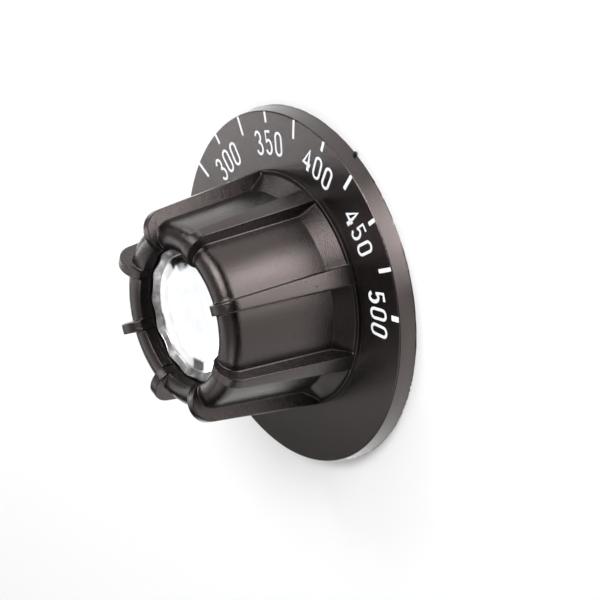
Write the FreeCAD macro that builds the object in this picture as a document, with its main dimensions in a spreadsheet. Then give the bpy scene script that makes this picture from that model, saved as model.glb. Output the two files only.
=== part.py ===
"""Oven control knob: a black phenolic moulding with a bright stamped insert and a leaf that grips the shaft.

Millimetres and degrees, +Z along the shaft towards the grip. The origin is the centre of the plane that the
dial's back rim stands on, and one rib points to -Y.
"""
import FreeCAD, Part
import Sketcher
import math
import os
import re

# A height that ends in _rise is above the dial's printed face. Every other one is a length of its feature.
SIZES = {
    # Dial
    "rim_radius": 37.7,            # back edge of the drafted rim, a 3 in dial
    "face_radius": 37.0,           # printed face
    "rim_depth": 3.7,              # back edge to printed face
    "rim_bevel": 0.25,             # front edge of the rim
    "plate_thickness": 2.4,        # dial behind the printed face
    "lip_width": 2.6,              # back lip that the knob stands on
    # Foot of the grip
    "ledge_radius": 24.85,         # flat ledge that the ribs end on
    "ledge_rise": 0.9,
    "collar_inset": 0.95,          # foot of the sloped collar inside the ledge's edge
    "collar_rise": 4.3,            # top of the collar
    # Drum and its rounded nose
    "drum_inset": 3.15,            # drum inside the ledge's edge, at the height of the face
    "drum_draft": 5.05,
    "drum_wall": 2.6,
    "nose_rise": 28.0,             # top of the ring between two ribs
    "nose_round": 3.3,
    "nose_sweep": 125.0,           # where the round ends and runs on straight to the recess
    "recess_radius": 14.1,
    "seat_rise": 22.5,             # seat of the insert
    "web_thickness": 2.5,          # wall between the recess and the hollow back
    "web_bevel": 1.2,              # inside corners of the hollow back
    # Ribs
    "rib_count": 8,
    "rib_width": 4.0,              # foot of a rib, on the ledge
    "rib_side_draft": 1.9,
    "rib_inset": 0.05,             # foot of a rib inside the ledge's edge
    "rib_front_draft": 6.3,        # slope of a rib's outer face
    "rib_rise": 29.8,              # top of a rib's rounded end
    "rib_round": 4.3,
    "rib_sweep": 140.0,            # where the round ends and runs on straight to the recess
    "rib_edge_bevel": 0.2,
    # Hub at the back, with plates that stay it to the drum
    "hub_radius": 7.6,
    "hub_draft": 1.0,
    "hub_setback": 0.5,            # hub's end in front of the plane that the rim stands on
    "stay_count": 4,
    "stay_thickness": 2.0,
    "stay_setback": 7.0,           # back edges of the plates in front of the hub's end
    # Socket for a quarter inch shaft with a flat
    "shaft_diameter": 6.35,
    "shaft_flat": 4.75,            # flat of the shaft to its far side
    "socket_clearance": 0.1,       # all round between socket and shaft
    "socket_depth": 18.0,
    "pilot_clearance": 0.35,       # all round between the socket's round mouth and the shaft
    "pilot_depth": 4.0,
    # Leaf in a slot beside the flat
    "leaf_thickness": 0.4,
    "leaf_width": 4.4,
    "leaf_length": 12.0,
    "leaf_bow": 0.9,               # middle of the leaf proud of its ends
    "leaf_reach": 0.2,             # how far the bow stands into the socket
    "leaf_play": 0.05,             # ends of the leaf off the slot's back
    "slot_clearance": 0.15,        # beside and beyond the leaf in its slot
    # Stamped insert in the recess
    "insert_sheet": 0.5,
    "insert_sides": 14,
    "insert_turn": -6.9,           # about the axis, from a flat that faces -Y
    "insert_fit": 0.05,            # corners of the rim inside the recess
    "insert_lean": 0.9,            # rim's top outside its foot
    "insert_rim": 1.7,             # rim above the mirror face
    "scallop_radius": 6.0,
    "scallop_dip": 0.45,           # middle of each flat below the rim's corners
    # How far a cutting shape runs past what it cuts
    "cut_overrun": 1.0,
}

FACE = "rim_depth"
LEDGE_TOP = "(rim_depth + ledge_rise)"
SEAT = "(rim_depth + seat_rise)"
WEB_BACK = f"({SEAT} - web_thickness)"
PLATE_BACK = "(rim_depth - plate_thickness)"
DRUM_RADIUS = "(ledge_radius - drum_inset)"


def bound(expression):
    """The expression with each size read from the sheet. Every size's name holds an underscore."""
    return re.sub(r"[a-z]+(?:_[a-z]+)+", lambda name: "Sizes." + name.group(), expression)


def value_of(expression):
    return float(doc.Sizes.evalExpression(bound(expression)))


def sheet_of_sizes():
    sheet = doc.addObject("Spreadsheet::Sheet", "Sizes")
    for row, (name, value) in enumerate(SIZES.items(), 1):
        sheet.set(f"A{row}", name)
        sheet.set(f"B{row}", str(value))
        sheet.setAlias(f"B{row}", name)
    doc.recompute()


def rounded_front(foot_radius, foot, draft, top, radius, sweep):
    """Corners of a front end: a line that leans in from its foot by a draft, an arc that tops out at a height
    and stops at its sweep, and its tangent on to the axis side of the recess's wall."""
    centre_height = f"({top} - {radius})"
    centre = f"({foot_radius} - ({centre_height} - {foot}) * tan({draft}) - {radius} / cos({draft}))"
    end, end_height = f"({centre} + {radius} * cos({sweep}))", f"({centre_height} + {radius} * sin({sweep}))"
    inside = f"(min({end}; recess_radius) - cut_overrun)"
    inside_height = f"({end_height} - ({end} - {inside}) * tan({sweep} - 90))"
    return [
        (f"{centre} + {radius} * cos({draft})", f"{centre_height} + {radius} * sin({draft})", radius, 1),
        (end, end_height),
        (inside, inside_height),
        ("0", inside_height),
    ]


def new_body(label):
    body = doc.addObject("PartDesign::Body", label)
    body.Label = label
    return body


def new_sketch(body, name, plane, height="0"):
    """An empty sketch on one of the body's own planes, moved along the plane's normal."""
    sketch = body.newObject("Sketcher::SketchObject", name)
    plane = next(feature for feature in body.Origin.OriginFeatures if feature.Role == plane)
    sketch.AttachmentSupport = [(plane, "")]
    sketch.MapMode = "FlatFace"
    sketch.setExpression("AttachmentOffset.Base.z", bound(height))
    return sketch


def drive(sketch, kind, places, expression):
    index = sketch.addConstraint(Sketcher.Constraint(kind, *places, value_of(expression)))
    sketch.setExpression(f"Constraints[{index}]", bound(expression))


def outline(sketch, corners):
    """A closed outline through (x, y) corners. Where a corner is (x, y, radius, side), the edge to the next
    corner is an arc of less than half a turn, with its centre on the left (1) or right (-1) of the way."""
    points = [FreeCAD.Vector(value_of(corner[0]), value_of(corner[1]), 0) for corner in corners]
    ends = []
    for corner, here, there in zip(corners, points, points[1:] + points[:1]):
        if len(corner) == 2:
            edge = sketch.addGeometry(Part.LineSegment(here, there), False)
            ends.append((edge, 1, 2))
            continue
        radius, side = value_of(corner[2]), corner[3]
        chord = there - here
        left = FreeCAD.Vector(-chord.y, chord.x, 0).normalize()
        centre = (here + there) * 0.5 + left * side * math.sqrt(radius ** 2 - chord.Length ** 2 / 4)
        start, stop = (here, there) if side > 0 else (there, here)
        angles = [math.atan2(point.y - centre.y, point.x - centre.x) for point in (start, stop)]
        circle = Part.Circle(centre, FreeCAD.Vector(0, 0, 1), radius)
        edge = sketch.addGeometry(Part.ArcOfCircle(circle, angles[0], angles[1]), False)
        ends.append((edge, 1, 2) if side > 0 else (edge, 2, 1))
    for corner, (edge, first, last), (following, start, _) in zip(corners, ends, ends[1:] + ends[:1]):
        sketch.addConstraint(Sketcher.Constraint("Coincident", edge, last, following, start))
        drive(sketch, "DistanceX", (-1, 1, edge, first), corner[0])
        drive(sketch, "DistanceY", (-1, 1, edge, first), corner[1])
        if len(corner) > 2:
            drive(sketch, "Radius", (edge,), corner[2])


def disc(sketch, radius):
    circle = Part.Circle(FreeCAD.Vector(0, 0, 0), FreeCAD.Vector(0, 0, 1), value_of(radius))
    edge = sketch.addGeometry(circle, False)
    sketch.addConstraint(Sketcher.Constraint("Coincident", edge, 3, -1, 1))
    drive(sketch, "Radius", (edge,), radius)


def turned(body, kind, name, corners):
    """A Revolution or a Groove of a half section about the knob's axis."""
    sketch = new_sketch(body, name + "_section", "XZ_Plane")
    outline(sketch, corners)
    feature = body.newObject("PartDesign::" + kind, name)
    feature.Profile = sketch
    feature.ReferenceAxis = (sketch, ["V_Axis"])
    feature.Angle = 360
    doc.recompute()
    return feature


def raised(body, kind, name, sketch, length, reverse=False):
    """A Pad or a Pocket of a sketch, along its normal or the other way."""
    feature = body.newObject("PartDesign::" + kind, name)
    feature.Profile = sketch
    feature.Reversed = reverse
    feature.setExpression("Length", bound(length))
    doc.recompute()
    return feature


def repeated(body, name, original, count):
    pattern = body.newObject("PartDesign::PolarPattern", name)
    pattern.Originals = [original]
    axis = next(feature for feature in body.Origin.OriginFeatures if feature.Role == "Z_Axis")
    pattern.Axis = (axis, [""])
    pattern.Angle = 360
    pattern.setExpression("Occurrences", bound(count))
    body.Tip = pattern
    doc.recompute()
    return pattern


def turned_blank(body):
    """Dial, ledge, collar, drum and nose as one solid of revolution."""
    rim_slope = "((rim_radius - face_radius) / rim_depth)"
    return turned(body, "Revolution", "blank", [
        ("0", "0"),
        ("rim_radius", "0"),
        (f"face_radius + rim_bevel * {rim_slope}", f"{FACE} - rim_bevel"),
        ("face_radius - rim_bevel", FACE),
        ("ledge_radius", FACE),
        ("ledge_radius", LEDGE_TOP),
        ("ledge_radius - collar_inset", LEDGE_TOP),
        (f"{DRUM_RADIUS} - collar_rise * tan(drum_draft)", f"{FACE} + collar_rise"),
        *rounded_front(DRUM_RADIUS, FACE, "drum_draft", f"({FACE} + nose_rise)", "nose_round", "nose_sweep"),
    ])


def ribs(body):
    """Drafted bars on the ledge, cut to one outer slope with a rounded front end."""
    outer, inner = "(ledge_radius - rib_inset)", "(recess_radius - 2 * cut_overrun)"
    height = "(rib_rise - ledge_rise + cut_overrun)"
    half_top = f"(rib_width / 2 - {height} * tan(rib_side_draft))"
    sketch = new_sketch(body, "rib_cross_section", "XZ_Plane", inner)
    outline(sketch, [
        ("-rib_width / 2", LEDGE_TOP),
        ("rib_width / 2", LEDGE_TOP),
        (half_top, f"{LEDGE_TOP} + {height}"),
        (f"-{half_top}", f"{LEDGE_TOP} + {height}"),
    ])
    bar = raised(body, "Pad", "rib_bar", sketch, f"{outer} - {inner}")
    repeated(body, "rib_bars", bar, "rib_count")
    top = f"({FACE} + rib_rise)"
    clear = f"{top} + 2 * cut_overrun"
    return turned(body, "Groove", "rib_front", [
        (outer, LEDGE_TOP),
        *rounded_front(outer, LEDGE_TOP, "rib_front_draft", top, "rib_round", "rib_sweep"),
        ("0", clear),
        ("rim_radius", clear),
        ("rim_radius", LEDGE_TOP),
    ])


def recess(body):
    clear = f"{FACE} + rib_rise + cut_overrun"
    return turned(body, "Groove", "recess", [
        ("0", SEAT),
        ("recess_radius", SEAT),
        ("recess_radius", clear),
        ("0", clear),
    ])


def inner_radius(height):
    """Inside of the drum's wall at a height."""
    return f"({DRUM_RADIUS} - ({height} - {FACE}) * tan(drum_draft) - drum_wall)"


def hub_outside(height):
    """Drafted outside of the hub at a height."""
    return f"(hub_radius + ({height} - hub_setback) * tan(hub_draft))"


def hollow_back(body):
    corner = f"({WEB_BACK} - web_bevel)"
    return turned(body, "Groove", "hollow", [
        ("0", "-cut_overrun"),
        ("0", "hub_setback"),
        ("hub_radius", "hub_setback"),
        (hub_outside(corner), corner),
        (f"{hub_outside(corner)} + web_bevel", WEB_BACK),
        (f"{inner_radius(corner)} - web_bevel", WEB_BACK),
        (inner_radius(corner), corner),
        (inner_radius(PLATE_BACK), PLATE_BACK),
        ("rim_radius - lip_width", PLATE_BACK),
        ("rim_radius - lip_width", "-cut_overrun"),
    ])


def stays(body):
    """Plates from the hub to the drum, each from the middle of the hub to the middle of the drum's wall."""
    back = "(hub_setback + stay_setback)"
    sketch = new_sketch(body, "stay_plan", "XY_Plane", back)
    reach = f"{inner_radius(back)} + drum_wall / 4"
    outline(sketch, [
        ("0", "-stay_thickness / 2"),
        (reach, "-stay_thickness / 2"),
        (reach, "stay_thickness / 2"),
        ("0", "stay_thickness / 2"),
    ])
    plate = raised(body, "Pad", "stay", sketch, f"{WEB_BACK} - {back}")
    return repeated(body, "stays", plate, "stay_count")


SOCKET_RADIUS = "(shaft_diameter / 2 + socket_clearance)"
PILOT_RADIUS = "(shaft_diameter / 2 + pilot_clearance)"
SOCKET_FLAT = "(shaft_flat - shaft_diameter / 2 + socket_clearance)"
SLOT_BACK = f"({SOCKET_FLAT} - leaf_reach + leaf_bow + leaf_thickness + leaf_play)"
LEAF_START = "(hub_setback + pilot_depth + slot_clearance)"


def socket(body):
    pilot = new_sketch(body, "pilot_circle", "XY_Plane", "hub_setback")
    disc(pilot, PILOT_RADIUS)
    raised(body, "Pocket", "pilot", pilot, "pilot_depth", True)
    section = new_sketch(body, "socket_section", "XY_Plane", "hub_setback")
    half_flat = f"sqrt({SOCKET_RADIUS}^2 - {SOCKET_FLAT}^2)"
    outline(section, [
        (f"-{half_flat}", SOCKET_FLAT, SOCKET_RADIUS, 1),
        ("0", f"-{SOCKET_RADIUS}", SOCKET_RADIUS, 1),
        (half_flat, SOCKET_FLAT),
    ])
    raised(body, "Pocket", "socket", section, "socket_depth", True)
    slot = new_sketch(body, "slot_plan", "XY_Plane", "hub_setback")
    half = "(leaf_width / 2 + slot_clearance)"
    outline(slot, [
        (f"-{half}", "0"),
        (half, "0"),
        (half, SLOT_BACK),
        (f"-{half}", SLOT_BACK),
    ])
    return raised(body, "Pocket", "slot", slot, "pilot_depth + leaf_length + 2 * slot_clearance", True)


def bevelled(body, name, base, size, chosen):
    """A chamfer on the edges of the base feature that the chosen test picks by their own geometry."""
    edges = [f"Edge{i}" for i, edge in enumerate(base.Shape.Edges, 1) if chosen(base.Shape, edge)]
    chamfer = body.newObject("PartDesign::Chamfer", name)
    chamfer.Base = (base, edges)
    chamfer.setExpression("Size", bound(size))
    doc.recompute()
    return chamfer


def is_rib_edge(shape, edge):
    """Whether an edge is between a rib's drafted side and its outer slope or rounded end."""
    surfaces = [face.Surface for face in shape.ancestorsOfType(edge, Part.Face)]
    side = any(isinstance(s, Part.Plane) and 0.001 < abs(s.Axis.z) < 0.2 for s in surfaces)
    slope = any(isinstance(s, Part.Cone)
                and abs(abs(math.degrees(s.SemiAngle)) - value_of("rib_front_draft")) < 0.01
                for s in surfaces)
    end = any(isinstance(s, Part.Toroid) and abs(s.MinorRadius - value_of("rib_round")) < 1e-3
              for s in surfaces)
    return side and (slope or end)


def knob_body():
    body = new_body("knob_body")
    turned_blank(body)
    ribs(body)
    recess(body)
    hollow_back(body)
    stays(body)
    cut = socket(body)
    bevelled(body, "rib_edges", cut, "rib_edge_bevel", is_rib_edge)
    return body


def shaft_spring():
    """A leaf bowed towards the shaft's flat, with its ends at the slot's back."""
    body = new_body("shaft_spring")
    sketch = new_sketch(body, "leaf_section", "YZ_Plane")
    outer = "((leaf_length^2 / 4 + leaf_bow^2) / (2 * leaf_bow))"
    inner = f"({outer} + leaf_thickness)"
    end_y = f"({SLOT_BACK} - leaf_play)"
    centre_y = f"({end_y} - leaf_bow + {outer})"
    inner_y = f"({centre_y} - {inner} * ({outer} - leaf_bow) / {outer})"
    middle = f"({LEAF_START} + leaf_length / 2)"
    outer_half = "leaf_length / 2"
    inner_half = f"{inner} * leaf_length / 2 / {outer}"
    outline(sketch, [
        (end_y, f"{middle} + {outer_half}", outer, 1),
        (end_y, f"{middle} - {outer_half}"),
        (inner_y, f"{middle} - {inner_half}", inner, -1),
        (inner_y, f"{middle} + {inner_half}"),
    ])
    leaf = raised(body, "Pad", "leaf", sketch, "leaf_width")
    leaf.SideType = "Symmetric"
    doc.recompute()
    return body


def polygon(sketch, apothem):
    """A regular polygon with the middle of one side towards -Y."""
    sides = int(value_of("insert_sides"))
    corner = f"({apothem} / cos(180 / insert_sides))"
    turns = [f"(({i} + 0.5) * 360 / insert_sides - 90)" for i in range(sides)]
    outline(sketch, [(f"{corner} * cos({turn})", f"{corner} * sin({turn})") for turn in turns])


def lofted(body, kind, name, foot_apothem, foot, top_apothem, top):
    """A many-sided frustum that is added or cut away."""
    lower = new_sketch(body, name + "_foot", "XY_Plane", foot)
    polygon(lower, foot_apothem)
    upper = new_sketch(body, name + "_top", "XY_Plane", top)
    polygon(upper, top_apothem)
    loft = body.newObject("PartDesign::" + kind, name)
    loft.Profile = lower
    loft.Sections = [upper]
    loft.Ruled = True
    doc.recompute()
    return loft


def front_insert():
    """A stamped cup: a flat mirror face and an upstanding rim of flats with scalloped tops."""
    body = new_body("front_insert")
    face = f"({SEAT} + insert_sheet)"
    top = f"({face} + insert_rim)"
    top_apothem = "((recess_radius - insert_fit) * cos(180 / insert_sides))"
    slope = "(insert_lean / insert_rim)"
    outer_foot = f"({top_apothem} - insert_lean - insert_sheet * {slope})"
    lofted(body, "AdditiveLoft", "cup", outer_foot, SEAT, top_apothem, top)
    over = f"({top} + cut_overrun)"
    lofted(body, "SubtractiveLoft", "hollow",
           f"({top_apothem} - insert_lean - insert_sheet)", face,
           f"({top_apothem} + cut_overrun * {slope} - insert_sheet)", over)
    sketch = new_sketch(body, "scallop_circle", "XZ_Plane")
    circle = Part.Circle(FreeCAD.Vector(0, value_of(top), 0), FreeCAD.Vector(0, 0, 1), 1)
    edge = sketch.addGeometry(circle, False)
    drive(sketch, "Radius", (edge,), "scallop_radius")
    sketch.addConstraint(Sketcher.Constraint("PointOnObject", edge, 3, -2))
    drive(sketch, "DistanceY", (-1, 1, edge, 3), f"{top} - scallop_dip + scallop_radius")
    scallop = raised(body, "Pocket", "scallop", sketch, "recess_radius + cut_overrun", True)
    repeated(body, "scallops", scallop, "insert_sides")
    body.setExpression("Placement.Rotation.Angle", bound("insert_turn"))
    return body


def check(body):
    for item in body.Group:
        if any(state in ("Invalid", "Error") for state in item.State):
            raise RuntimeError(f"{body.Label}: {item.Name} failed")
    shape = body.Shape
    if shape.isNull() or not shape.isValid() or len(shape.Solids) != 1:
        raise RuntimeError(f"{body.Label}: {len(shape.Solids)} solids, not one valid solid")
    print(f"{body.Label}: {shape.Volume:.1f} mm3, {len(shape.Faces)} faces, box {shape.BoundBox}")


doc = FreeCAD.newDocument("oven_control_knob")
sheet_of_sizes()
pieces = [knob_body(), front_insert(), shaft_spring()]
doc.recompute()
os.makedirs("parts", exist_ok=True)
for piece in pieces:
    check(piece)
for piece in pieces:
    piece.Shape.exportStep(f"parts/{piece.Label}.step")
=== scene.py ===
"""Looks of an oven control knob: black moulding, printed scale, bright insert and the leaf in its socket.

The lengths in this file are in millimetres and go to metres where a mesh is made. +Z is the shaft's axis,
a rib points to -Y, and a half section is written as (radius, height).
"""
import math

import bmesh
import bpy
from mathutils import Matrix, Vector, noise


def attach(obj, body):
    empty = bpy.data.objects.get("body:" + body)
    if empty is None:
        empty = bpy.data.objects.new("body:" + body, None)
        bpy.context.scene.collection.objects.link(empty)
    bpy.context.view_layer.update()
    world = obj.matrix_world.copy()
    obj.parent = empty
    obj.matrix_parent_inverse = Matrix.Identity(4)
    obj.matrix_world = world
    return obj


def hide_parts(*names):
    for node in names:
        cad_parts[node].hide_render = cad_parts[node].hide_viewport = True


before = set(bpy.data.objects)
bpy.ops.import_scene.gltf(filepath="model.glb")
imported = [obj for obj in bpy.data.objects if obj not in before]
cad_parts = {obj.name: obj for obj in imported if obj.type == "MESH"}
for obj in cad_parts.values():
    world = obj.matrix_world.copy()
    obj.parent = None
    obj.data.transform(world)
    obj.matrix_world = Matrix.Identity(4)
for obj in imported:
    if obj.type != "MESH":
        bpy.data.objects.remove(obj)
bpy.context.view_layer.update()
MM = 0.001

FACE = 3.7               # printed face of the dial
LEDGE_TOP = 4.6
LEDGE_RADIUS = 24.85
RIM_RADIUS = 37.7
RECESS_RADIUS = 14.1
SEAT = 26.2              # floor of the recess
DRUM_DRAFT = math.radians(5.05)
RIB_DRAFT = math.radians(6.3)
SIDE_DRAFT = math.radians(1.9)
RIB_FOOT = (24.8, LEDGE_TOP)
RIBS = 8
HALF_PITCH = math.pi / RIBS


# The moulding's skin, from half sections

def rounded(corners):
    """Points (radius, height, direction of the outward normal) along a line with rounded corners, each corner
    (radius, height, round, steps). The material is on the left of the way. Both ends are plain points."""
    points = []
    for before, corner, after in zip(corners, corners[1:], corners[2:]):
        here = Vector(corner[:2])
        along, onward = (here - Vector(before[:2])).normalized(), (Vector(after[:2]) - here).normalized()
        turn = math.atan2(along.x * onward.y - along.y * onward.x, along.dot(onward))
        start = math.atan2(-along.x, along.y)
        side = 1 if turn > 0 else -1
        radius, steps = corner[2:]
        tangent = radius * math.tan(abs(turn) / 2)
        centre = here - along * tangent - Vector((along.y, -along.x)) * radius * side
        for step in range(steps + 1):
            angle = start + turn * step / steps
            points.append((centre.x + side * radius * math.cos(angle),
                           centre.y + side * radius * math.sin(angle), angle))
    return points


def between(first, last, count):
    """Evenly spaced points strictly between two points of a half section."""
    shares = [step / (count + 1) for step in range(1, count + 1)]
    return [tuple(a + (b - a) * share for a, b in zip(first, last)) for share in shares]


def drum_radius(height):
    return 21.7 - (height - FACE) * math.tan(DRUM_DRAFT)


def rib_radius(height):
    return RIB_FOOT[0] - (height - LEDGE_TOP) * math.tan(RIB_DRAFT)


def half_rib(height):
    return 2.0 - (height - LEDGE_TOP) * math.tan(SIDE_DRAFT)


BACK = rounded([
    (0, 0.5, 0, 1), (7.6, 0.5, 0.3, 3), (7.98, 22.5, 0.8, 3), (9.18, 23.7, 0.8, 3), (16.24, 23.7, 0.8, 3),
    (17.44, 22.5, 0.8, 3), (19.31, 1.3, 0.4, 3), (35.1, 1.3, 0.4, 3), (35.1, 0, 0.15, 2),
    (RIM_RADIUS - 0.1, 0, 0.1, 3), (37.04, 3.48, 0.1, 2), (36.82, FACE, 0.12, 2),
    (LEDGE_RADIUS, FACE, 0.06, 2), (LEDGE_RADIUS, LEDGE_TOP, 0, 1),
])
FOOT = rounded([
    (LEDGE_RADIUS, FACE, 0, 1), (LEDGE_RADIUS, LEDGE_TOP, 0.14, 3), (23.9, LEDGE_TOP, 0.2, 3),
    (drum_radius(8.0), 8.0, 0.3, 4), (drum_radius(20.0), 20.0, 0, 1),
])
NOSE = rounded([
    (drum_radius(8.0), 8.0, 0, 1), (18.989, 34.378, 3.3, 22), (RECESS_RADIUS, 30.955, 0.18, 4),
    (RECESS_RADIUS, SEAT, 0, 1),
])
CREST = rounded([
    (*RIB_FOOT, 0, 1), (20.929, 39.656, 4.3, 22), (RECESS_RADIUS, 31.53, 0.18, 4),
    (RECESS_RADIUS, SEAT, 0, 1),
])
WELL = rounded([(RECESS_RADIUS, 31.0, 0, 1), (RECESS_RADIUS, SEAT, 0.2, 3), (0, SEAT, 0, 1)])


def crest_over(valley):
    """The point of a rib's outer line that stands over a point of the ledge, collar or drum."""
    height = LEDGE_TOP + (valley[1] - LEDGE_TOP) * (CREST[0][1] - LEDGE_TOP) / (NOSE[0][1] - LEDGE_TOP)
    return (rib_radius(height), height, RIB_DRAFT)


valleys = FOOT + between(FOOT[-1], NOSE[0], 5)
on_rim = 4
crests = valleys[:on_rim] + [crest_over(point) for point in valleys[on_rim:]]
LINES = list(zip(crests + CREST, valleys + NOSE))
TOP, EDGE, WALL, ROOT, GAP = 4, 4, 4, 4, 10        # columns of faces across half a rib and half a gap
COLUMNS = 1 + TOP + EDGE + WALL + ROOT + GAP
EDGE_ROUND = 0.22
ROOT_ROUND = 0.3


def outward(point, x):
    """Place and normal on the turned surface through a point of a half section, at x across the rib."""
    radius, height, angle = point
    turn = math.asin(x / radius)
    normal = Vector((math.sin(turn) * math.cos(angle), -math.cos(turn) * math.cos(angle), math.sin(angle)))
    return Vector((x, -radius * math.cos(turn), height)), normal


def offset(point, distance):
    radius, height, angle = point
    return (radius + distance * math.cos(angle), height + distance * math.sin(angle), angle)


def turned(point, angle):
    return Vector((point[0] * math.sin(angle), -point[0] * math.cos(angle), point[1]))


def across(crest, valley):
    """One row of the skin, from the middle of a rib to the middle of a gap."""
    depth = math.dist(crest[:2], valley[:2])
    side = Vector((math.cos(SIDE_DRAFT), 0, math.sin(SIDE_DRAFT)))
    round_edge, round_root = min(EDGE_ROUND, depth / 3), min(ROOT_ROUND, depth / 3)
    inner = offset(crest, -round_edge)
    centre, normal = outward(inner, half_rib(inner[1]) - round_edge / side.x)
    edge = [centre + normal.slerp(side, step / EDGE) * round_edge for step in range(EDGE + 1)]
    outer = offset(valley, round_root)
    centre, normal = outward(outer, half_rib(outer[1]) + round_root / side.x)
    root = [centre - side.slerp(normal, step / ROOT) * round_root for step in range(ROOT + 1)]
    brow, foot = (math.atan2(point.x, -point.y) for point in (edge[0], root[-1]))
    return (
        [turned(crest, brow * step / TOP) for step in range(TOP)]
        + edge
        + [edge[-1].lerp(root[0], step / WALL) for step in range(1, WALL)]
        + root
        + [turned(valley, foot + (HALF_PITCH - foot) * step / GAP) for step in range(1, GAP + 1)]
    )


def skin_rows():
    grip = [across(crest, valley) for crest, valley in LINES]
    def plain(point, like):
        return [turned(point, math.atan2(place.x, -place.y)) for place in like]
    return (
        [plain((0, 0.5), grip[0])] + [plain(point, grip[0]) for point in BACK]
        + grip
        + [plain(point, grip[-1]) for point in WELL] + [plain((0, SEAT), grip[-1])]
    )


def placed_grid(rows, columns, place):
    """A grid of faces whose corners are put in place by their row and column."""
    mesh = bmesh.new()
    bmesh.ops.create_grid(mesh, x_segments=columns - 1, y_segments=rows - 1, size=1)
    for vert in mesh.verts:
        row = round((vert.co.y + 1) / 2 * (rows - 1))
        column = round((vert.co.x + 1) / 2 * (columns - 1))
        vert.co = place(row, column) * MM
    return mesh


def closed(mesh):
    """Welds the mesh's seams and poles and turns its faces outwards."""
    bmesh.ops.remove_doubles(mesh, verts=mesh.verts[:], dist=1e-6)
    bmesh.ops.recalc_face_normals(mesh, faces=mesh.faces[:])
    return mesh


def moulding_mesh():
    rows = skin_rows()
    mesh = placed_grid(len(rows), COLUMNS, lambda row, column: rows[row][column])
    bmesh.ops.mirror(mesh, geom=mesh.verts[:] + mesh.edges[:] + mesh.faces[:], axis="X", merge_dist=1e-7)
    bmesh.ops.spin(mesh, geom=mesh.verts[:] + mesh.edges[:] + mesh.faces[:], axis=(0, 0, 1), steps=RIBS - 1,
                   angle=math.tau * (RIBS - 1) / RIBS, use_duplicate=True)
    return closed(mesh)


def as_object(name, mesh):
    data = bpy.data.meshes.new(name)
    mesh.to_mesh(data)
    mesh.free()
    piece = bpy.data.objects.new(name, data)
    bpy.context.scene.collection.objects.link(piece)
    return piece


def turned_by(mesh, degrees):
    """Turns a mesh about the knob's axis."""
    matrix = Matrix.Rotation(math.radians(degrees), 3, "Z")
    bmesh.ops.rotate(mesh, cent=(0, 0, 0), matrix=matrix, verts=mesh.verts[:])


def block(name, low, high, turn=0):
    mesh = bmesh.new()
    bmesh.ops.create_cube(mesh, size=1)
    size = [b - a for a, b in zip(low, high)]
    middle = [(a + b) / 2 for a, b in zip(low, high)]
    bmesh.ops.scale(mesh, vec=[v * MM for v in size], verts=mesh.verts[:])
    bmesh.ops.translate(mesh, vec=[v * MM for v in middle], verts=mesh.verts[:])
    turned_by(mesh, turn)
    return as_object(name, mesh)


def rod(radius, low, high):
    mesh = bmesh.new()
    bmesh.ops.create_cone(mesh, cap_ends=True, segments=96, radius1=radius * MM, radius2=radius * MM,
                          depth=(high - low) * MM)
    bmesh.ops.translate(mesh, vec=(0, 0, (low + high) / 2 * MM), verts=mesh.verts[:])
    return mesh


def combined(piece, tool, how):
    """Joins a closed tool to a piece or cuts it away, and removes the tool."""
    boolean = piece.modifiers.new(how.lower(), "BOOLEAN")
    boolean.operation = how
    boolean.solver = "MANIFOLD"
    boolean.object = tool
    bpy.context.view_layer.update()
    result = bpy.data.meshes.new_from_object(piece.evaluated_get(bpy.context.evaluated_depsgraph_get()))
    piece.modifiers.clear()
    piece.data = result
    bpy.data.objects.remove(tool)


FLASH = ((37.2, 0.0), (37.62, 0.0), (37.66, 0.1), (37.5, 0.45), (37.2, 0.0))
FLASH_STEPS = 900
FLASH_RAGGED_FROM = 37.6
FLASH_RAGGEDNESS = 0.07


def rim_flash():
    """A ragged line of flash round the back edge of the rim."""
    def place(row, column):
        angle = math.tau * (column % FLASH_STEPS) / FLASH_STEPS
        ragged = noise.noise((30 * math.cos(angle), 30 * math.sin(angle), 0.5))
        ragged += noise.noise((9 * math.cos(angle), 9 * math.sin(angle), 3.5))
        radius, height = FLASH[row]
        if radius > FLASH_RAGGED_FROM:
            radius = min(radius + FLASH_RAGGEDNESS * ragged, RIM_RADIUS - 0.005)
        return turned((radius, height), angle)
    return as_object("flash", closed(placed_grid(len(FLASH), FLASH_STEPS + 1, place)))


# Nicks in the rim's back edge: (degrees from +X, size)
NICKS = (
    (-77.6, 0.4), (-124.9, 0.24), (-129.3, 0.3), (-131.2, 0.42), (-133.2, 0.34), (-134.6, 0.26),
    (-136.8, 0.4), (-138.5, 0.3), (-140.7, 0.36), (-143.0, 0.24), (-69.2, 0.3), (-160, 0.3), (35, 0.35),
    (118, 0.3),
)


def edge_nicks():
    """The small lumps that are cut out of the rim's back edge."""
    mesh = bmesh.new()
    for angle, size in NICKS:
        turn = Matrix.Rotation(math.radians(angle), 4, "Z")
        place = turn @ Matrix.Translation((37.66 * MM, 0, 0.12 * MM)) @ Matrix.Diagonal((0.8, 1.5, 0.9, 1))
        bmesh.ops.create_icosphere(mesh, subdivisions=2, radius=size * MM, matrix=place)
    return as_object("nicks", mesh)


GATE_ANGLE = 41          # degrees clockwise from the 350 mark


def gate_stub():
    """What is left of the moulding's gate, on the rim's back edge near the 400 mark."""
    mesh = bmesh.new()
    bmesh.ops.create_icosphere(mesh, subdivisions=3, radius=MM)
    for vert in mesh.verts:
        vert.co *= 1 + 0.15 * noise.noise(vert.co / MM * 1.7)
    bmesh.ops.scale(mesh, vec=(0.55, 0.42, 0.3), verts=mesh.verts[:])
    bmesh.ops.translate(mesh, vec=(37.95 * MM, 0, 0.37 * MM), verts=mesh.verts[:])
    turned_by(mesh, MARK_350 - GATE_ANGLE)
    return as_object("stub", mesh)


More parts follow.
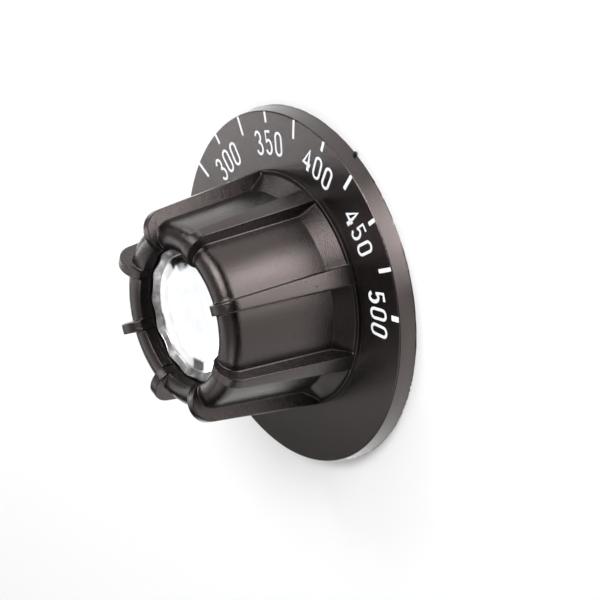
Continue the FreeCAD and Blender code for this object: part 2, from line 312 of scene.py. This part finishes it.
WEB = ((-19.2, -1.0, 7.5), (19.2, 1.0, 24.2))       # a plate that carries the hub, from corner to corner
MOUTH_RADIUS = 3.525
MOUTH_TOP = 4.5
SOCKET_RADIUS = 3.275
SOCKET_FLAT = 1.675      # from the axis
SOCKET_TOP = 18.5
LEAF_SLOT = ((-2.35, 0, -1), (2.35, 2.825, 16.8))
BELOW = -1               # where the tools that cut the socket begin, clear of the back


def moulding():
    piece = as_object("moulded_knob", moulding_mesh())
    for turn in (0, 90):
        combined(piece, block("plate", *WEB, turn), "UNION")
    combined(piece, as_object("mouth", rod(MOUTH_RADIUS, BELOW, MOUTH_TOP)), "DIFFERENCE")
    section = rod(SOCKET_RADIUS, BELOW, SOCKET_TOP)
    bmesh.ops.bisect_plane(section, geom=section.verts[:] + section.edges[:] + section.faces[:],
                           plane_co=(0, SOCKET_FLAT * MM, 0), plane_no=(0, 1, 0), clear_outer=True)
    bmesh.ops.holes_fill(section, edges=[edge for edge in section.edges if edge.is_boundary])
    combined(piece, as_object("section", section), "DIFFERENCE")
    combined(piece, block("slot", *LEAF_SLOT), "DIFFERENCE")
    combined(piece, rim_flash(), "UNION")
    combined(piece, edge_nicks(), "DIFFERENCE")
    combined(piece, gate_stub(), "UNION")
    finish_edges(piece, 40)
    return piece


# Bright insert: a shallow dish whose border is folded up in fourteen flats

FLATS = 14
FLAT_STEPS = 8
DISH_RADIUS = 12.1
DISH_FLOOR = 26.31
DISH_DEPTH = 1.1
DISH_STEPS = 14
INSERT_TURN = -96.9      # degrees from +X to the middle of the first flat
UNEVEN = (0.0, 0.5, -0.7, 0.3, 0.9, -0.4, -0.9, 0.6, 0.1, -0.6, 0.8, -0.2, 0.4, -0.8)
# The cup's half section: apothem, height, how far the scallop lowers it, how far an uneven flat moves it
CUP = [
    (0, 26.2, 0, 0), (12.3, 26.2, 0, 0), (12.52, 26.3, 0, 0), (12.66, 26.5, 0, 0), (13.62, 28.3, 0.9, 1),
    (13.68, 28.38, 1, 1), (13.66, 28.42, 1, 1), (13.5, 28.42, 1, 1), (13.44, 28.38, 1, 1),
    (13.4, 28.3, 0.9, 1), (13.0, 28.0, 0.5, 1.3), (12.55, 27.66, 0.1, 1.6), (12.3, 27.48, 0, 1.2),
    (12.2, 27.41, 0, 0.8),
]


def cup_point(flat, share, apothem, height, unevenness):
    """A point on one flat of the border, the share of the way along it."""
    half = math.pi / FLATS
    along = (share * 2 - 1) * half
    soft = 1 - 0.012 * abs(share * 2 - 1) ** 6
    radius = apothem / math.cos(along) * soft + unevenness * math.sin(math.pi * share)
    angle = math.radians(INSERT_TURN) + (flat * 2) * half + along
    return Vector((radius * math.cos(angle), radius * math.sin(angle), height))


def dished(share):
    """How high the dish stands at a share of its radius: nearly flat in the middle, steeper outwards."""
    return (share ** 2 + share ** 6) / 2


def cup():
    dish = [DISH_RADIUS * (1 - step / DISH_STEPS) for step in range(DISH_STEPS + 1)]
    rows = CUP + [(radius, DISH_FLOOR + DISH_DEPTH * dished(radius / DISH_RADIUS), 0, 0) for radius in dish]
    columns = FLATS * FLAT_STEPS

    def place(row, column):
        apothem, height, low, moved = rows[row]
        flat, step = divmod(column % columns, FLAT_STEPS)
        share = step / FLAT_STEPS
        scallop = (0.34 + 0.1 * UNEVEN[flat]) * math.sin(math.pi * share) ** 1.5
        return cup_point(flat, share, apothem, height - low * scallop, moved * 0.09 * UNEVEN[-flat])
    piece = as_object("stamped_insert", closed(placed_grid(len(rows), columns + 1, place)))
    finish_edges(piece, 19)
    return piece


def finish_edges(piece, angle):
    """Smooth shading with sharp edges past an angle in degrees."""
    piece.data.shade_smooth()
    piece.data.set_sharp_from_angle(angle=math.radians(angle))
    weighted = piece.modifiers.new("even_normals", "WEIGHTED_NORMAL")
    weighted.keep_sharp = True
    weighted.weight = 80


# Printed scale

STROKE = 0.31
INK = 0.03
DIGIT_HEIGHT = 4.65      # centre lines of the strokes
DIGIT_WIDTH = 1.95
DIGIT_PITCH = 6.5        # degrees
DIGIT_RADIUS = 30.4
VALUE_PITCH = 15.87      # degrees for 25 on the scale
MARK_350 = -11.7         # degrees from +X
DIAL_EDGE = 36.88        # where a mark ends
LONG_MARK = 32.8         # where a long mark begins
SHORT_MARK = 34.6
MARK_WIDTH = 0.62
MARK_ROUND = 0.18
OFF_STEPS = -8.5         # place of the word, in steps of 25 from 350

# Weight of the strokes of each character. The print is heavier on the side of the high numbers
LIGHT = (0.9, 0.9, 0.9)
BOLD = {"400": (1.5, 0.95, 1.05), "450": (1.6, 1.0, 1.0), "500": (1.3, 1.08, 1.08)}


def oval(centre, size, start, stop, steps):
    angles = [math.radians(start + (stop - start) * step / steps) for step in range(steps + 1)]
    return [(centre[0] + size[0] * math.cos(a), centre[1] + size[1] * math.sin(a)) for a in angles]


# Centre lines of the characters in a box from (0, 0) to (1, 1), each (closed, points)
GLYPHS = {
    "0": [(True, oval((0.5, 0.78), (0.5, 0.22), 0, 180, 12) + oval((0.5, 0.22), (0.5, 0.22), 180, 360, 12))],
    "2": [(False, oval((0.5, 0.76), (0.5, 0.24), 170, -20, 12) + [(0.85, 0.52), (0.0, 0.0), (1.0, 0.0)])],
    "3": [(False, oval((0.47, 0.765), (0.45, 0.235), 165, -80, 12) + [(0.42, 0.52)]),
          (False, [(0.42, 0.52)] + oval((0.5, 0.26), (0.5, 0.26), 80, -165, 12))],
    "4": [(False, [(0.74, 0.0), (0.74, 0.98), (-0.1, 0.3), (1.08, 0.3)])],
    "5": [(False, [(0.92, 1.0), (0.12, 1.0), (0.1, 0.53)] + oval((0.48, 0.31), (0.5, 0.31), 135, -155, 14))],
    "O": [(True, oval((0.5, 0.78), (0.5, 0.22), 0, 180, 12) + oval((0.5, 0.22), (0.5, 0.22), 180, 360, 12))],
    "F": [(False, [(0.0, 0.0), (0.0, 1.0), (0.95, 1.0)]), (False, [(0.0, 0.52), (0.8, 0.52)])],
}


def stroke(curve, points, closed, place, weight):
    spline = curve.splines.new("POLY")
    spline.points.add(len(points) - 1)
    spline.use_cyclic_u = closed
    for target, point in zip(spline.points, points):
        target.co = (*place(point), 1)
        target.radius = weight


def ink_line(name):
    curve = bpy.data.curves.new(name, "CURVE")
    curve.dimensions = "3D"
    curve.bevel_depth = STROKE * MM
    curve.bevel_resolution = 3
    curve.use_fill_caps = True
    return curve


def printed(text, angle):
    """Characters on the dial, their tops outwards, centred at an angle clockwise from the 350 mark."""
    curve = ink_line("print_" + text)
    for index, character in enumerate(text):
        turn = math.radians(MARK_350 - angle - (index - (len(text) - 1) / 2) * DIGIT_PITCH)
        across_, up = Vector((math.sin(turn), -math.cos(turn))), Vector((math.cos(turn), math.sin(turn)))
        def place(point):
            spot = up * (DIGIT_RADIUS + (point[1] - 0.5) * DIGIT_HEIGHT)
            spot += across_ * ((point[0] - 0.5) * DIGIT_WIDTH)
            return spot.x * MM, spot.y * MM, 0
        weight = BOLD.get(text, LIGHT)[index]
        for closed, points in GLYPHS[character]:
            stroke(curve, points, closed, place, weight)
    return curve


def tick(name, angle, inner, width=MARK_WIDTH):
    """A printed bar across the dial's edge, with its corners a little round."""
    mesh = bmesh.new()
    bmesh.ops.create_cube(mesh, size=1)
    bmesh.ops.scale(mesh, vec=((DIAL_EDGE - inner) * MM, width * MM, 2 * INK * MM), verts=mesh.verts[:])
    upright = [edge for edge in mesh.edges if abs(edge.verts[0].co.z - edge.verts[1].co.z) > INK * MM]
    bmesh.ops.bevel(mesh, geom=upright, offset=MARK_ROUND * MM, segments=4, profile=0.5, affect="EDGES",
                    material=-1)
    bmesh.ops.translate(mesh, vec=((DIAL_EDGE + inner) / 2 * MM, 0, FACE * MM), verts=mesh.verts[:])
    turned_by(mesh, MARK_350 - angle)
    return as_object(name, mesh)


def laid(name, curve):
    """The curve as a mesh, flattened to a coat of ink on the dial's face."""
    source = bpy.data.objects.new(name, curve)
    bpy.context.scene.collection.objects.link(source)
    bpy.context.view_layer.update()
    data = bpy.data.meshes.new_from_object(source.evaluated_get(bpy.context.evaluated_depsgraph_get()))
    bpy.data.objects.remove(source)
    data.transform(Matrix.Diagonal((1, 1, INK / STROKE, 1)))
    data.transform(Matrix.Translation((0, 0, FACE * MM)))
    data.shade_smooth()
    piece = bpy.data.objects.new(name, data)
    bpy.context.scene.collection.objects.link(piece)
    return piece


TICK_WIDTHS = {400: 0.72, 425: 0.82, 450: 0.85, 475: 0.85, 500: 1.15}


def scale_print():
    pieces = []
    for value in range(200, 501, 25):
        angle = (value - 350) / 25 * VALUE_PITCH
        long_tick = value % 50 == 25
        width = TICK_WIDTHS.get(value, MARK_WIDTH)
        pieces.append(tick(f"tick_{value}", angle, LONG_MARK if long_tick else SHORT_MARK, width))
        if not long_tick:
            pieces.append(laid(f"value_{value}", printed(str(value), angle)))
    off = OFF_STEPS * VALUE_PITCH
    pieces.append(tick("tick_off", off, SHORT_MARK))
    pieces.append(laid("word_off", printed("OFF", off)))
    return pieces


# Finishes

class Value:
    """A socket's number, with Python's arithmetic as Math nodes."""

    def __init__(self, finish, socket):
        self.finish, self.socket = finish, socket

    def _maths(self, operation, *values):
        return self.finish.node("ShaderNodeMath", {"operation": operation}, dict(enumerate(values))).out(0)

    def __add__(self, other):
        return self._maths("ADD", self, other)

    def __sub__(self, other):
        return self._maths("SUBTRACT", self, other)

    def __mul__(self, other):
        return self._maths("MULTIPLY", self, other)

    def __rsub__(self, other):
        return self._maths("SUBTRACT", other, self)

    __radd__ = __add__
    __rmul__ = __mul__


class Made:
    """A node of a finish."""

    def __init__(self, finish, node):
        self.finish, self.node = finish, node

    def out(self, name):
        return Value(self.finish, self.node.outputs[name])


class Finish:
    """A material's tree of nodes."""

    def __init__(self, name, owner=None):
        self.owner = owner or bpy.data.materials.new(name)
        self.owner.use_nodes = True
        self.tree = self.owner.node_tree
        self.tree.nodes.clear()

    def node(self, kind, settings=None, values=None):
        node = self.tree.nodes.new(kind)
        for name, value in (settings or {}).items():
            if name == "stops":
                elements = node.color_ramp.elements
                elements[0].position, elements[1].position = value[0][0], value[-1][0]
                for position, _ in value[1:-1]:
                    elements.new(position)
                for element, (_, colour) in zip(elements, value):
                    element.color = (colour, colour, colour, 1) if isinstance(colour, float) else (*colour, 1)
            else:
                setattr(node, name, value)
        for name, value in (values or {}).items():
            if isinstance(value, Value):
                self.tree.links.new(value.socket, node.inputs[name])
            else:
                node.inputs[name].default_value = value
        return Made(self, node)

    def place(self):
        return self.node("ShaderNodeTexCoord").out("Object")

    def noise(self, size, detail=2.0, stretch=None, roughness=0.5):
        """Noise from 0 to 1 with blobs of about a size in millimetres."""
        vector = self.place()
        if stretch:
            vector = self.node("ShaderNodeMapping", {}, {"Vector": vector, "Scale": stretch}).out("Vector")
        values = {"Vector": vector, "Scale": 1 / (size * MM), "Detail": detail, "Roughness": roughness}
        return self.node("ShaderNodeTexNoise", {}, values).out(0)

    def vector(self, operation, first, second=None, output="Vector"):
        values = {0: first} if second is None else {0: first, 1: second}
        return self.node("ShaderNodeVectorMath", {"operation": operation}, values).out(output)

    def ramp(self, value, stops):
        return self.node("ShaderNodeValToRGB", {"stops": stops}, {"Fac": value}).out("Color")

    def span(self, value, low, high, to_low=0.0, to_high=1.0):
        values = {"Value": value, "From Min": low, "From Max": high, "To Min": to_low, "To Max": to_high}
        return self.node("ShaderNodeMapRange", {"clamp": True}, values).out("Result")

    def bump(self, height, distance, strength=1.0, under=None):
        values = {"Height": height, "Distance": distance * MM, "Strength": strength}
        if under:
            values["Normal"] = under
        return self.node("ShaderNodeBump", {}, values).out("Normal")

    def surface(self, **values):
        """The principled shader on the output, its sockets' spaces written as underscores."""
        values = {name.replace("_", " "): value for name, value in values.items()}
        shader = self.node("ShaderNodeBsdfPrincipled", {}, values).out("BSDF")
        self.node("ShaderNodeOutputMaterial", {}, {"Surface": shader})
        return self.owner


FINE_GRAIN = 0.16
COARSE_GRAIN = 0.28
PIT_PITCH = 0.85


def black_phenolic():
    """Satin black with a moulded grain, a few pits, and streaks on the flanks of the ribs."""
    finish = Finish("black_phenolic")
    fine = finish.noise(FINE_GRAIN, 2.0, roughness=0.6)
    coarse = finish.noise(COARSE_GRAIN, 1.0)
    patches = finish.noise(2.5, 3.0)
    waves = finish.noise(9.0, 1.0)
    cells = finish.node("ShaderNodeTexVoronoi", {}, {"Vector": finish.place(), "Scale": 1 / (PIT_PITCH * MM)})
    pits = finish.span(cells.out("Distance"), 0.22, 0.1) * finish.span(finish.noise(1.3, 1.0), 0.5, 0.65)
    around = finish.vector("NORMALIZE", finish.vector("CROSS_PRODUCT", (0, 0, 1), finish.place()))
    normal = finish.node("ShaderNodeNewGeometry").out("Normal")
    facing = finish.vector("DOT_PRODUCT", around, normal, output="Value")
    side = finish.span(facing * facing, 0.6, 0.9)
    streaks = finish.noise(0.45, 2.0, stretch=(0.2, 0.2, 1))
    grain = fine * 0.3 + coarse * 0.5 + patches * 0.2
    dark, light = (0.0015, 0.0012, 0.0012), (0.013, 0.0108, 0.0103)
    # The colour is darker in the pits: painted shade in the pits.
    colour = finish.ramp(grain - pits * 0.15, [(0.34, dark), (0.68, light)])
    height = fine * 1.6 + coarse * 2.2 + side * (streaks * 1.8 + coarse) - pits * 2.0
    normal = finish.bump(waves, 0.02)
    normal = finish.bump(height, 0.018, under=normal)
    roughness = finish.span(fine + patches, 0.6, 1.4, 0.14, 0.21) + side * 0.1 + pits * 0.08
    return finish.surface(Base_Color=colour, Roughness=roughness, Normal=normal, IOR=1.6,
                          Specular_Tint=(1.0, 0.85, 0.83, 1))


def white_ink():
    finish = Finish("white_ink")
    fine = finish.noise(0.25, 2.0)
    colour = finish.ramp(fine, [(0.3, (0.86, 0.88, 0.92)), (0.7, (0.93, 0.95, 0.98))])
    return finish.surface(Base_Color=colour, Roughness=finish.span(fine, 0.3, 0.7, 0.4, 0.55),
                          Normal=finish.bump(fine, 0.01))


PAINTED_REFLECTION_BORDER = (11.8, 12.35)       # radii between which the painted reflection sets in


def bright_sheet():
    """Bright sheet, clean on the dish; the flats round it are rougher and painted a mottled brown, a painted
    reflection of the dark recess wall.
    """
    finish = Finish("bright_sheet")
    fine = finish.noise(0.2, 3.0)
    patches = finish.noise(3.0, 2.0)
    clean = finish.ramp(patches, [(0.3, (0.82, 0.83, 0.85)), (0.7, (0.90, 0.91, 0.93))])
    radius = finish.vector("LENGTH", finish.vector("MULTIPLY", finish.place(), (1, 1, 0)), output="Value")
    border = finish.span(radius, *(edge * MM for edge in PAINTED_REFLECTION_BORDER))
    painted_reflection_mottle = finish.span(finish.noise(1.6, 3.0, roughness=0.6), 0.36, 0.62)
    # The flats round the dish are mixed towards dark brown, mottled by noise: a painted reflection of the
    # dark recess wall.
    values = {0: border * (painted_reflection_mottle * 0.35 + 0.45), 6: clean, 7: (0.16, 0.14, 0.135, 1)}
    colour = finish.node("ShaderNodeMix", {"data_type": "RGBA"}, values).out(2)
    normal = finish.bump(patches, 0.01)
    normal = finish.bump(fine + border * painted_reflection_mottle * 3, 0.001, under=normal)
    return finish.surface(Base_Color=colour, Metallic=1.0, Normal=normal,
                          Roughness=finish.span(fine, 0.3, 0.7, 0.07, 0.13) + border * 0.2)


def spring_steel():
    finish = Finish("spring_steel")
    rolled = finish.noise(0.1, 3.0, stretch=(1, 1, 0.05))
    colour = finish.ramp(rolled, [(0.3, (0.36, 0.37, 0.39)), (0.7, (0.46, 0.47, 0.49))])
    return finish.surface(Base_Color=colour, Metallic=1.0, Roughness=finish.span(rolled, 0.3, 0.7, 0.25, 0.4),
                          Normal=finish.bump(rolled, 0.003))


# Camera, light and floor

FLOOR_SEEN = 0.06
FLOOR_MIRRORED = 0.32
WORLD_ABOVE = 0.5
# In mirrored rays the floor at the rim's foot has a level on each side and one soft pool of light in front
RIM_LEFT, RIM_RIGHT = 0.7, 0.3
RIM_POOL = 5.5
RIM_LEVELS_MEET = (-115, -100)       # degrees from +X, as are the next two
RIM_POOL_RISES = (-100, -84)
RIM_POOL_FALLS = (-60, -76)
RIM_GLOW_ENDS = (50, 46)             # radii


LENS = 162.659
CAMERA_PLACE = (0.014746, -0.467816, 0.309481)       # metres
CAMERA_TURN = (-22.1531, 53.6212, -114.6384)         # degrees


def camera():
    data = bpy.data.cameras.new("camera")
    data.lens = LENS
    data.sensor_width = 36
    piece = bpy.data.objects.new("camera", data)
    piece.location = CAMERA_PLACE
    piece.rotation_euler = [math.radians(angle) for angle in CAMERA_TURN]
    bpy.context.scene.collection.objects.link(piece)
    bpy.context.scene.camera = piece


def card(name, middle, aim, size, strength):
    """A soft lamp: a rectangle at one place that faces another, as bright as strength times white."""
    data = bpy.data.lights.new(name, "AREA")
    data.shape = "RECTANGLE"
    data.size, data.size_y = size[0] * MM, size[1] * MM
    data.energy = strength * math.pi * data.size * data.size_y
    lamp = bpy.data.objects.new(name, data)
    lamp.location = Vector(middle) * MM
    lamp.rotation_euler = (Vector(aim) - Vector(middle)).to_track_quat("-Z", "Y").to_euler()
    lamp.visible_camera = False
    bpy.context.scene.collection.objects.link(lamp)
    return lamp


def strip(name, azimuth, near, far, degrees, strength, height=0.15):
    """A soft lamp that lies low over the floor and faces up, along a ray from the knob's axis."""
    middle = (near + far) / 2
    turn = math.radians(azimuth)
    place = Vector((middle * math.cos(turn), middle * math.sin(turn), height))
    size = (far - near, math.radians(degrees) * middle)
    lamp = card(name, place, place + Vector((0, 0, 1)), size, strength)
    lamp.rotation_euler = (math.pi, 0, turn)
    return lamp


def sky(name, azimuth, height, width, tall, strength):
    """A soft lamp on a wide dome, at an angle over the floor, which faces the knob."""
    turn, rise = math.radians(azimuth), math.radians(height)
    towards = Vector((math.cos(turn) * math.cos(rise), math.sin(turn) * math.cos(rise), math.sin(rise)))
    return card(name, towards * DOME, (0, 0, 10), (width, tall), strength)


DOME = 600
# Soft lamps round the knob: azimuth, angle over the floor, width, height, strength
SKY = {
    "key": (-47, 50, 260, 260, 11.0),
    "right_high": (0, 46, 327, 230, 2.8),
    "back_high": (90, 54, 520, 250, 0.8),
    "back_left_high": (135, 46, 327, 230, 1.2),
    "left_high": (180, 46, 327, 230, 2.3),
    "front_left_high": (225, 46, 327, 230, 0.43),
    "back_right": (60, 25, 570, 200, 0.66),
    "front_right": (-55, 38, 330, 110, 2.6),
    "right_low": (0, 8, 628, 130, 3.2),
    "left_low": (180, 8, 628, 130, 1.4),
}
EDGE_LIGHT = (12, 41, 60, 60, 26.0)
# Strips low over the floor: azimuth, near, far, width in degrees, strength and, for one of them, height
STRIPS = {
    "near_front": (-90, 50, 112, 20, 3.1),
    "near_right": (-70, 50, 112, 20, 2.4),
    "rim_right": (-66, 53, 80, 15, 7.5, 0.5),
    "far_right": (-75, 112, 300, 27, 4.6),
}


# Upright cards behind the knob that face its front: x, z, size, strength
CARD_DISTANCE = 260
CARDS = {
    "back_low": (62, 130, (40, 140), 4.0),
    "insert_low": (-2, 159, (72, 58), 1.15),
    "insert_high": (-11, 239, (102, 102), 1.15),
}


def lamps():
    for name, values in SKY.items():
        sky(name, *values)
    for name, values in STRIPS.items():
        strip(name, *values)
    sky("edge_light", *EDGE_LIGHT)
    for name, (x, z, size, strength) in CARDS.items():
        card(name, (x, CARD_DISTANCE, z), (x, 0, z), size, strength)


def floor():
    mesh = bmesh.new()
    bmesh.ops.create_grid(mesh, x_segments=1, y_segments=1, size=3)
    piece = as_object("floor", mesh)
    finish = Finish("pale_floor")
    place = finish.node("ShaderNodeSeparateXYZ", {}, {0: finish.place()})
    x, y = place.out("X"), place.out("Y")
    azimuth = finish.node("ShaderNodeMath", {"operation": "ARCTAN2"}, {0: y, 1: x}).out(0)
    radius = finish.node("ShaderNodeMath", {"operation": "SQRT"}, {0: x * x + y * y}).out(0)
    level = finish.span(azimuth, *map(math.radians, RIM_LEVELS_MEET), RIM_LEFT, RIM_RIGHT)
    pool = finish.span(azimuth, *map(math.radians, RIM_POOL_RISES))
    pool = pool * finish.span(azimuth, *map(math.radians, RIM_POOL_FALLS)) * RIM_POOL
    rim_glow = (level + pool) * finish.span(radius, *(edge * MM for edge in RIM_GLOW_ENDS))
    rays = finish.node("ShaderNodeLightPath")
    shine = rays.out("Is Camera Ray") * FLOOR_SEEN + rays.out("Is Glossy Ray") * (rim_glow + FLOOR_MIRRORED)
    glow = finish.node("ShaderNodeEmission", {}, {"Color": shine, "Strength": 1.0})
    matt = finish.node("ShaderNodeBsdfDiffuse", {}, {"Color": (0.8, 0.8, 0.8, 1)})
    both = finish.node("ShaderNodeAddShader", {}, {0: glow.out(0), 1: matt.out(0)})
    finish.node("ShaderNodeOutputMaterial", {}, {"Surface": both.out(0)})
    piece.data.materials.append(finish.owner)


def surroundings():
    """White for the camera, and for all other rays a soft light from above."""
    world = bpy.data.worlds.new("studio")
    bpy.context.scene.world = world
    finish = Finish("studio", world)
    seen = finish.node("ShaderNodeLightPath").out("Is Camera Ray")
    towards = finish.node("ShaderNodeTexCoord").out("Generated")
    rise = finish.node("ShaderNodeSeparateXYZ", {}, {0: towards}).out("Z")
    strength = finish.span(rise, 0.6, 0.88) * WORLD_ABOVE * (1 - seen) + seen
    sky_light = finish.node("ShaderNodeBackground", {}, {"Color": (1, 1, 1, 1), "Strength": strength})
    finish.node("ShaderNodeOutputWorld", {}, {"Surface": sky_light.out(0)})


camera()
surroundings()
floor()
lamps()

phenolic, ink, sheet, steel = black_phenolic(), white_ink(), bright_sheet(), spring_steel()
knob = moulding()
knob.data.materials.clear()
knob.data.materials.append(phenolic)
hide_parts("knob_body")
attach(knob, "root")
for piece in scale_print():
    piece.data.materials.clear()
    piece.data.materials.append(ink)
    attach(piece, "root")
insert = cup()
insert.data.materials.append(sheet)
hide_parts("front_insert")
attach(insert, "root")
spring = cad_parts["shaft_spring"].data
spring.materials.clear()
spring.materials.append(steel)

bpy.context.scene.view_settings.view_transform = "Standard"
